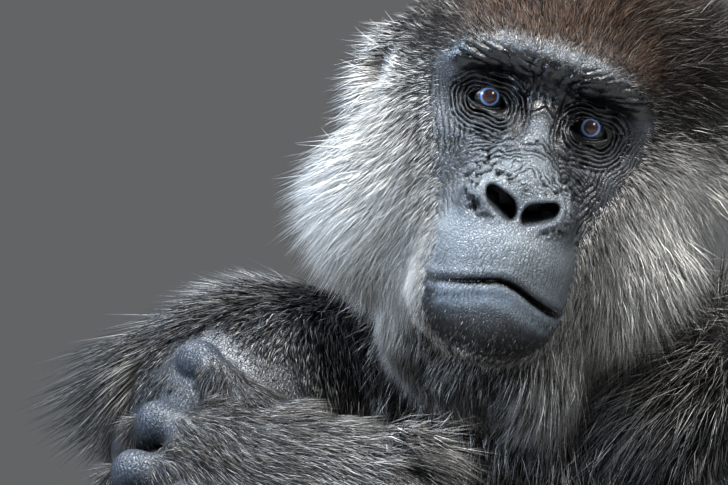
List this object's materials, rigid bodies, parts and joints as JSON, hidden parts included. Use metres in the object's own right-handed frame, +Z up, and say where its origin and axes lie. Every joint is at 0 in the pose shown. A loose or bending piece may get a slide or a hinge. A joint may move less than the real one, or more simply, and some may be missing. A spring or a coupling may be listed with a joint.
{
  "type": "gorilla",
  "caption": "Life-size still model of a seated adult female gorilla, facing ahead with its head tilted and its arms folded over its drawn-up knees.",
  "frame": {"origin": "middle of the flat that the rump rests on, level with both soles", "axes": "+Z up, the gorilla faces -Y, so its left side is at +X"},
  "size_m": [0.5733, 0.6645, 0.9176],
  "materials": {
    "coat": "long coarse hair, blackish with a blue-grey sheen, grey-beige on the cheeks and red-brown on the crown",
    "skin": "bare slate-grey skin with a soft bluish gloss, creased and pitted",
    "eye": "wet glossy eye, dark brown iris with a pale blue-grey ring",
    "nail": "satin black nail"
  },
  "bodies": {
    "root": {"head": "coat", "eye_left": "eye", "ear_left": "skin", "eye_right": "eye", "ear_right": "skin", "index_finger_left": "skin", "middle_finger_left": "skin", "ring_finger_left": "skin", "little_finger_left": "skin", "thumb_left": "skin", "hand_left": "skin", "forearm_left": "coat", "upper_arm_left": "coat", "index_finger_right": "skin", "middle_finger_right": "skin", "ring_finger_right": "skin", "little_finger_right": "skin", "thumb_right": "skin", "hand_right": "skin", "forearm_right": "coat", "upper_arm_right": "coat", "neck": "coat", "big_toe_left": "skin", "second_toe_left": "skin", "third_toe_left": "skin", "fourth_toe_left": "skin", "little_toe_left": "skin", "foot_left": "skin", "shin_left": "coat", "thigh_left": "coat", "big_toe_right": "skin", "second_toe_right": "skin", "third_toe_right": "skin", "fourth_toe_right": "skin", "little_toe_right": "skin", "foot_right": "skin", "shin_right": "coat", "thigh_right": "coat", "pelvis": "coat", "abdomen": "coat", "chest": "coat"}
  },
  "joints": []
}
